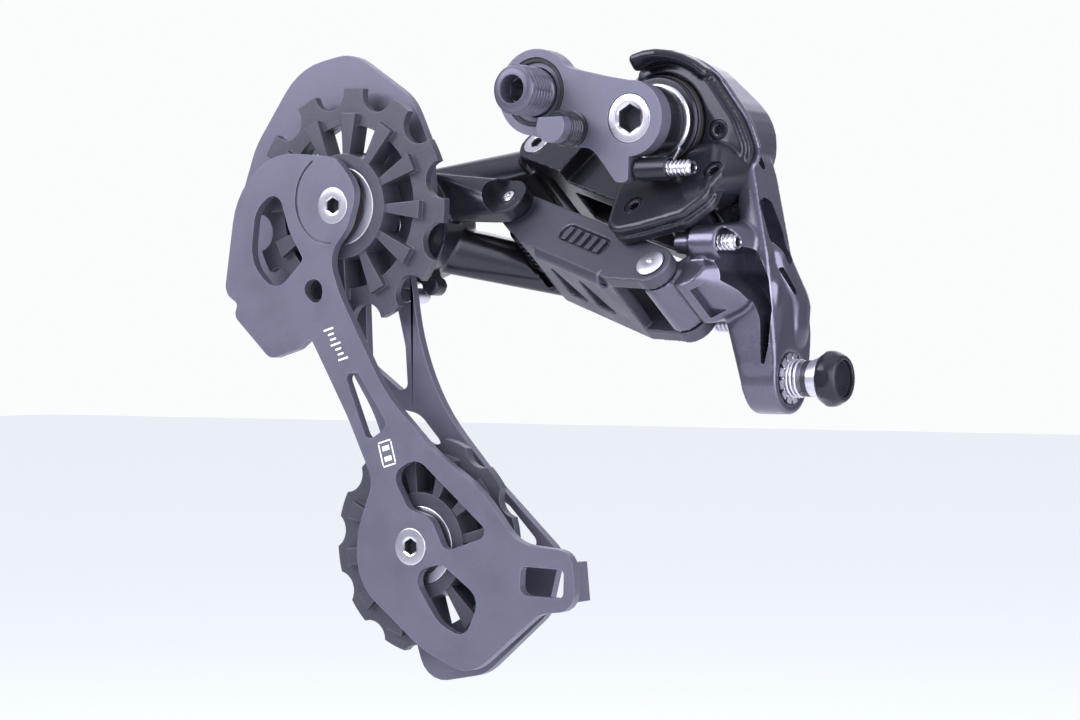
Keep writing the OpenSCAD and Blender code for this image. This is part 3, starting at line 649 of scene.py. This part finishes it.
def make_pins():
    """The two rear pins, the front pin in the inner link and the socketed one in the outer link."""
    rear = join("rear_pin_set", pin(INNER_LINK, -19.6, 0.5, 3, 0.5), pin(OUTER_LINK, -18, 3, 2.3, 0.4))
    finish_piece(rear, "upper_body", LOOKS["silver_steel"], ["rear_pins"])
    first = INNER_LINK @ FRONT_PINS
    rings = soften([(0, -23), (2.2, -23), (2.2, 4.0), (1.4, 4.0), (1.3, 3.8), (0, 3.8)], 0.1)
    finish_piece(lathe("front_pin_shaft", rings, first, steps=64), "lower_body", LOOKS["black_steel"],
                 ["front_pins"])
    socket = hexagon(2.5)
    rings = [(0, -18.2), (2.2, -18), (2.2, 3.52), (2.9, 3.54), (3.0, 3.62), (2.9, 3.8), (1.7, 3.8)]
    rings += [(socket, 3.7), (hexagon(2.4), 2.2), (0, 2.1)]
    second = lathe("pin", rings, OUTER_LINK @ FRONT_PINS)
    front = join("front_pin_set", pin(first, 0, 4.2, 1.35, 0.3), second)
    finish_piece(front, "lower_body", LOOKS["silver_steel"], ["front_pins"])
    # Dark lining of the outer front pin's socket: painted shade
    painted_socket_shade("front_pin_socket_shade", "lower_body", OUTER_LINK @ FRONT_PINS, 2.48, 3.6, 2.3)


# ---------- cast and forged pieces ----------

# Outline of the cover plate in the X-Z plane
COVER_OUTLINE = round_outline([(16, -2, 4), (14.8, 5, 5), (19.8, 8.6, 6), (31, 4.4, 16), (38.6, -6, 14),
                               (41.2, -12.6, 4), (37.5, -18.8, 10), (31, -24.4, 8), (24, -24.6, 4),
                               (17, -21, 4)])

# Frames at the heads of the cover's three screws, whose own Z points out of the cover
SLANT = Vector((-0.15, -0.74, 0.65)).normalized()
SLANT_X = SLANT.orthogonal().normalized()
COVER_SCREWS = [
    basis(Vector((34.7, 12.5, -8.2)), Vector((1, 0, 0)), Vector((0, 0, 1)), Vector((0, -1, 0))),
    basis(Vector((37.2, 6.1, -16.3)), SLANT_X, SLANT.cross(SLANT_X), SLANT),
    LINKAGE @ Matrix.Translation((-4.2, 12.1, 5))]


def grown(outline, by):
    """A convex outline moved outwards by about the given width."""
    centre = sum(outline, Vector((0, 0))) / len(outline)
    return [p + (p - centre).normalized() * by for p in outline]


def pocket(outline, x0, x1):
    """A pocket cut along X, its rounded outline given as (y, z, radius) corners."""
    sideways = Matrix(((0, 0, 1, 0), (1, 0, 0, 0), (0, 1, 0, 0), (0, 0, 0, 1)))
    return prism(sideways, round_outline(outline, 5), x0, x1)


def link_room():
    """Room that the two links sweep about the rear pins, and that their rear eyes turn in."""
    reach, eye = 70, 5.3
    return [box(INNER_LINK, (0, -4.9, -19.3), (reach, reach, 0.35)),
            box(OUTER_LINK, (0, -4.8, -18.6), (reach, reach, 0.3)),
            rod(INNER_LINK, -3.2, 8, eye),
            rod(INNER_LINK, -30, -15.8, eye),
            rod(OUTER_LINK, -14.2, 0.4, eye)]


def make_upper_body():
    """Cast housing and arm, with the channel between the arm's front strap and its rear wall."""
    casting = cad_copy("upper_body_casting", "upper_body_shell")

    # Flange behind the cover, boss of the low limit screw, the arm's lower end and its bulge
    lower_end = along_x(17, -56.4)
    end_rings = [ring(lower_end, x, r) for x, r in ((39.7, 4.6), (40.6, 5.8), (42.5, 6.6), (47.5, 6.6))]
    arm_top = [ball(41, 14, -38, 1.7), ball(46, 14, -39, 1.7), ball(42, 21, -38, 1.7)]
    add(casting,
        prism(WORLD_XZ, grown(COVER_OUTLINE, 0.9), 16.5, 17.7),
        rod(screw_place("limit_screw_low"), 44.5, 48.1, 2.4),
        hull(*arm_top, *end_rings),
        balls((43.5, 21.6, -42.5, 6), (43.5, 21, -47, 6), (42.4, 18, -34, 5), (42.6, 17, -55, 5)))
    remesh(casting, 0.34)
    relax(casting, 7)

    # Channel, the three pockets in the outer side, the adjuster's seat and the bracket's panel
    channel = [(37.5, -32, 1), (43.2, -31, 2), (46.2, -37, 4), (47.2, -43.5, 5), (47, -50, 4),
               (46.2, -54, 0.8), (45.4, -53.6, 0.8), (44.9, -45, 6), (42, -39.5, 4), (38, -36, 2)]
    long_pocket = [(16, -21, 1.2), (19.8, -22, 1.6), (21, -28, 4), (20.4, -33.2, 1.2), (18, -35, 1),
                   (15.4, -29, 5)]
    upper_pocket = [(16.9, -12.6, 0.9), (21, -17.4, 0.9), (20.8, -8.6, 0.9)]
    slit = [(15, -35.2, 0.4), (16.2, -35, 0.4), (19.2, -40, 0.4), (18.4, -40.6, 0.4)]
    cut(casting,
        prism(WORLD_XZ, round_outline(channel), 4, 18),
        pocket(long_pocket, 40, 60),
        pocket(upper_pocket, 36, 60),
        pocket(slit, 44, 60),
        rod(along_x(17, -56.6), 48, 60, 5.2),
        box(LINKAGE, (6.6, -9, -14), (40, -2.4, -5.6)))
    cut(casting, *link_room())
    finish_piece(casting, "upper_body", LOOKS["satin_body"], ["upper_body_shell"])


def hood_ridge():
    """Hulls of the cover's hood, an arc round the pivot that is deepest at its rounded front end."""
    radius, start, step = 13.2, 46, 10.5
    sections = []
    for k in range(7):
        angle = math.radians(start + step * k)
        x, z = KNUCKLE.x + radius * math.cos(angle), KNUCKLE.z + radius * math.sin(angle)
        front = 12.6 - 3.6 * min(1, k / 4)
        inner = radius - 1.5 * max(0, k - 3) / 3
        xi, zi = KNUCKLE.x + inner * math.cos(angle), KNUCKLE.z + inner * math.sin(angle)
        sections.append(ball(x, front, z, 1.1) + ball(x, 13.8, z, 1.1) + ball(xi, front + 0.4, zi, 1.0))
    return [hull(a, b) for a, b in zip(sections, sections[1:])]


def small_screw(place):
    """A flush screw with a hexagonal socket, its head at the frame's height 0."""
    rings = soften([(0, -2), (2, -2), (2, -0.2), (1.3, -0.2), (1.2, -0.35)], 0.2)
    rings += [(hexagon(2), -0.4), (hexagon(1.95), -1.5), (0, -1.6)]
    return lathe("screw", rings, place, steps=48)


def make_cover():
    """Cover plate with its stepped edge, rounded hood and slanted lobe, and its three screws."""
    cover = object_from("cover_moulding", prism(WORLD_XZ, COVER_OUTLINE, 14.3, 16.3))
    rim, crown = grown(COVER_OUTLINE, -0.9), grown(COVER_OUTLINE, -4)
    rim_points = [Vector((p.x, y, p.y)) for p in rim for y in (13, 15)]
    add(cover, hull(rim_points, [Vector((p.x, 12.5, p.y)) for p in crown]))
    add(cover, *hood_ridge())

    # Lobe over the second rear pin, with a groove round its edge, and the root that carries it
    lobe = round_outline([(-9.8, 6.2, 5.8), (-1.5, 5.9, 3), (8, 6.6, 4), (13, 10.5, 4), (13.5, 18, 4),
                          (11, 26, 2), (-2, 25, 3), (-9.8, 20, 3)])
    face = [LINKAGE @ Vector((p.x, p.y, h)) for p in lobe for h in (3.1, 4.5)]
    face_top = [LINKAGE @ Vector((p.x, p.y, 5)) for p in grown(lobe, -0.8)]
    root_line = ((6, 8), (10, 9), (12.5, 11.5), (15, 15.5))
    root = [LINKAGE @ Vector((x, y, h)) for x, y in root_line for h in (3.4, 4.9)]
    foot = along_y((32.4, -16))
    add(cover,
        prism(LINKAGE, lobe, 0.5, 2.3),
        prism(LINKAGE, grown(lobe, -0.6), 2, 3.4),
        hull(face, face_top),
        hull(root, ring(foot, 12.9, 5.5), ring(foot, 14, 7.4), ring(foot, 15.8, 7.6)))

    # Room for the links, the stop arm, the sleeve and the stop screw's barrel
    cut(cover, *link_room())
    cut(cover,
        box(Matrix(), (5, -5, -16.7), (29.2, 12.4, -4.7)),
        rod(along_y(KNUCKLE), 0, 20, 9.7),
        rod(screw_place("stop_screw"), 20, 36.5, 3))
    remesh(cover, 0.27)
    relax(cover, 5)
    cut(cover, rod(OUTER_LINK, -30, 3.2, 2.24), *[rod(place, -2, 3, 2.12) for place in COVER_SCREWS])
    finish_piece(cover, "upper_body", LOOKS["black_body"], ["upper_body_cover"])
    screws = join("cover_screw_set", *[small_screw(place) for place in COVER_SCREWS])
    finish_piece(screws, "upper_body", LOOKS["black_steel"], ["cover_screws"])


def make_links():
    """The two links with softened forged edges, bars in the pocket and the end of the rolled edge."""
    inner = cad_copy("inner_link_forging", "inner_link")
    remesh(inner, 0.24)
    relax(inner, 2)
    starts = (16.4, 19.2, 22, 24.8, 27.6)
    add(inner, *[box(INNER_LINK, (x, -1.1, -1.3), (x + 1.3, 2.1, -0.5)) for x in starts])
    finish_piece(inner, "inner_link", LOOKS["inner_forging"], ["inner_link"])

    x_axis, y_axis, z_axis = (INNER_LINK.col[k].to_3d() for k in range(3))
    roll = basis(INNER_LINK @ Vector((11, 5.6, -2.2)), y_axis, z_axis, -x_axis)
    rings = [(0, -0.3), (2.1, -0.3), (2.1, 0.5), (1.5, 0.5)]
    rings += [(1.4, 0.15), (1.0, 0.15), (0.9, 0.45), (0, 0.45)]
    roll_end = lathe("rolled_edge_end", soften(rings, 0.1), roll)
    finish_piece(roll_end, "inner_link", LOOKS["grey_link"])

    outer = cad_copy("outer_link_forging", "outer_link")
    remesh(outer, 0.28)
    relax(outer, 2)
    finish_piece(outer, "outer_link", LOOKS["black_body"], ["outer_link"])


def make_lower_body():
    """Cast lower body round the cage pivot, with its two arms."""
    casting = cad_copy("lower_body_casting", "lower_body")
    remesh(casting, 0.34)
    relax(casting, 5)
    first = INNER_LINK @ FRONT_PINS
    cut(casting, rod(first, 3.95, 12, 4.9), rod(first, 0.5, 9, 2.22))
    finish_piece(casting, "lower_body", LOOKS["black_body"], ["lower_body"])


def make_stop():
    """Stop ring round the pivot, its bright arm, and the black barrel that holds the stop screw."""
    rings = soften([(3.6, 9.6), (7.3, 9.6), (7.75, 10), (7.75, 10.4), (3.6, 10.4), (3.6, 9.7)], 0.2)
    plate = lathe("stop_ring", rings, along_y(KNUCKLE), tube=True)
    add(plate,
        balls((27.2, 10.0, -12.0, 0.55), (24.6, 10.0, -13.6, 0.55), (25.4, 6.6, -15.2, 0.6),
              (27.3, 6.6, -15.2, 0.6)),
        balls((25.0, 7.2, -15.3, 0.8), (27.2, 7.2, -15.3, 0.8), (24.8, 4.4, -15.6, 0.8),
              (27.2, 4.4, -15.6, 0.8)))
    finish_piece(plate, "upper_body", LOOKS["silver_steel"], ["stop_plate"])

    rings = soften([(3.6, 10.3), (8.6, 10.3), (9.1, 10.7), (9.1, 11.25), (3.6, 11.25), (3.6, 10.4)], 0.2)
    backing = lathe("stop_ring_backing", rings, along_y(KNUCKLE), tube=True)
    finish_piece(backing, "upper_body", LOOKS["black_steel"], ["stop_plate"])

    rings = soften([(1.64, 22.7), (2.3, 22.7), (2.35, 24.4), (2.3, 29.8), (1.64, 29.8), (1.64, 22.8)], 0.3)
    barrel = lathe("stop_barrel", rings, screw_place("stop_screw"), steps=64, tube=True)
    finish_piece(barrel, "upper_body", LOOKS["black_steel"], ["stop_plate"])


def make_sleeve():
    """Spacer sleeve between the hanger link and the stop ring."""
    rings = [(3.6, 3.66), (7, 3.66), (7, 8.7), (6.7, 9.0), (6.7, 9.4), (3.6, 9.4), (3.6, 3.7)]
    sleeve = lathe("spacer_sleeve", soften(rings, 0.15), along_y(KNUCKLE), tube=True)
    finish_piece(sleeve, "hanger", LOOKS["black_steel"], ["pivot_sleeve"])


def make_marks():
    """Plain printed marks on the inner cage plate: a row of ticks, and a framed pair of bars."""
    face, depth = -4.93, 0.05

    def mark(x, z, half_x, half_z):
        low, high = (x - half_x, z - half_z, face - depth), (x + half_x, z + half_z, face)
        return object_from("mark", box(CAGE_XZ, low, high))

    marks = []
    for k, width in enumerate((2.6, 1.5, 1.5, 2.6, 1.5, 1.5, 2.6)):
        marks.append(mark(-8.1 + 0.34 * k, -24.3 - 1.15 * k, width / 2, 0.2))
    x, z = -0.5, -52.8
    half_wide, half_high, line = 1.6, 2.5, 0.3
    marks += [mark(x, z + side * half_high, half_wide, line / 2) for side in (-1, 1)]
    marks += [mark(x + side * half_wide, z, line / 2, half_high - line) for side in (-1, 1)]
    marks += [mark(x, z + side * 1.1, 0.9, 0.5) for side in (-1, 1)]
    finish_piece(join("printed_marks", *marks), "cage", LOOKS["print"])


make_bolts()
make_adjuster()
make_springs()
make_pins()
make_upper_body()
make_cover()
make_links()
make_lower_body()
make_stop()
make_sleeve()
make_marks()
for kept in NODES:
    if not NODES[kept].hide_render:
        dress(kept)


# ---------- stage ----------

def make_camera():
    """The photograph's view: from the wheel side, level, a little from the rear."""
    azimuth, elevation, distance = math.radians(33.8), math.radians(0.3), 0.52
    target = Vector((0.0013, 0.0, -0.0531))
    back = Vector((math.sin(azimuth) * math.cos(elevation),
                   -math.cos(azimuth) * math.cos(elevation),
                   math.sin(elevation)))
    data = bpy.data.cameras.new("camera")
    data.lens = 87.5
    data.sensor_width = 36
    data.clip_start = 0.01
    camera = bpy.data.objects.new("camera", data)
    bpy.context.scene.collection.objects.link(camera)
    camera.location = target + back * distance
    camera.rotation_euler = (-back).to_track_quat("-Z", "Y").to_euler()
    bpy.context.scene.camera = camera


def area_light(name, location, target, size, power):
    """A faintly lilac softbox."""
    data = bpy.data.lights.new(name, "AREA")
    data.shape = "RECTANGLE"
    data.size, data.size_y = size
    data.energy = power
    data.color = (0.93, 0.92, 1.0)
    light = bpy.data.objects.new(name, data)
    bpy.context.scene.collection.objects.link(light)
    light.location = location
    light.rotation_euler = (Vector(target) - Vector(location)).to_track_quat("-Z", "Y").to_euler()


def make_world():
    """Near-white backdrop; the light it sheds is bright above and dim below."""
    world = bpy.data.worlds.new("world")
    world.use_nodes = True
    tree = world.node_tree
    background = tree.nodes["Background"]
    place = tree.nodes.new("ShaderNodeTexCoord")
    parts = tree.nodes.new("ShaderNodeSeparateXYZ")
    ramp = tree.nodes.new("ShaderNodeValToRGB")
    ray = tree.nodes.new("ShaderNodeLightPath")
    mix = tree.nodes.new("ShaderNodeMix")
    mix.data_type = "RGBA"
    height = tree.nodes.new("ShaderNodeMapRange")
    height.inputs["From Min"].default_value = -1
    ramp.color_ramp.elements[0].color = (0.06, 0.06, 0.08, 1)
    ramp.color_ramp.elements[1].color = (0.9, 0.9, 1.0, 1)
    middle = ramp.color_ramp.elements.new(0.5)
    middle.color = (0.22, 0.22, 0.27, 1)
    mix.inputs["B"].default_value = (0.945, 0.985, 0.98, 1)
    tree.links.new(place.outputs["Generated"], parts.inputs[0])
    tree.links.new(parts.outputs["Z"], height.inputs["Value"])
    tree.links.new(height.outputs["Result"], ramp.inputs["Fac"])
    tree.links.new(ray.outputs["Is Camera Ray"], mix.inputs["Factor"])
    tree.links.new(ramp.outputs["Color"], mix.inputs["A"])
    tree.links.new(mix.outputs["Result"], background.inputs["Color"])
    bpy.context.scene.world = world


def make_floor():
    """Pale floor, far enough down to stay clear of the part at every pose."""
    size, height = 6, -0.28
    corners = [(-size, -size, height), (size, -size, height), (size, size, height), (-size, size, height)]
    mesh = bpy.data.meshes.new("floor")
    mesh.from_pydata(corners, [], [(0, 1, 2, 3)])
    floor = bpy.data.objects.new("floor", mesh)
    bpy.context.scene.collection.objects.link(floor)
    pale = surface("floor_pale", (0.86, 0.89, 0.885), 0.9, grain=300, spread=0.01, bump=0.02)
    mesh.materials.append(pale)

    # The floor is a little brighter to the camera than to the part
    shader = pale.node_tree.nodes["Principled BSDF"]
    ray = pale.node_tree.nodes.new("ShaderNodeLightPath")
    shader.inputs["Emission Color"].default_value = (0.25, 0.27, 0.26, 1)
    pale.node_tree.links.new(ray.outputs["Is Camera Ray"], shader.inputs["Emission Strength"])


def make_stage():
    """Backdrop, floor and five softboxes."""
    bpy.context.scene.view_settings.view_transform = "Standard"
    make_world()
    make_floor()
    area_light("key", (-0.36, -0.5, 0.34), (-0.03, 0, 0.0), size=(0.7, 0.45), power=6.6)
    area_light("top", (0.05, -0.1, 0.75), (0, 0, -0.04), size=(0.9, 0.7), power=1.2)
    area_light("front", (0.66, -0.56, 0.14), (0.03, 0, -0.03), size=(0.5, 0.7), power=4.2)
    area_light("right", (0.72, -0.08, 0.1), (0.03, 0, -0.03), size=(0.5, 0.8), power=6)
    area_light("back", (-0.3, 0.7, 0.3), (0, 0, -0.04), size=(0.7, 0.7), power=2.2)


make_stage()
make_camera()
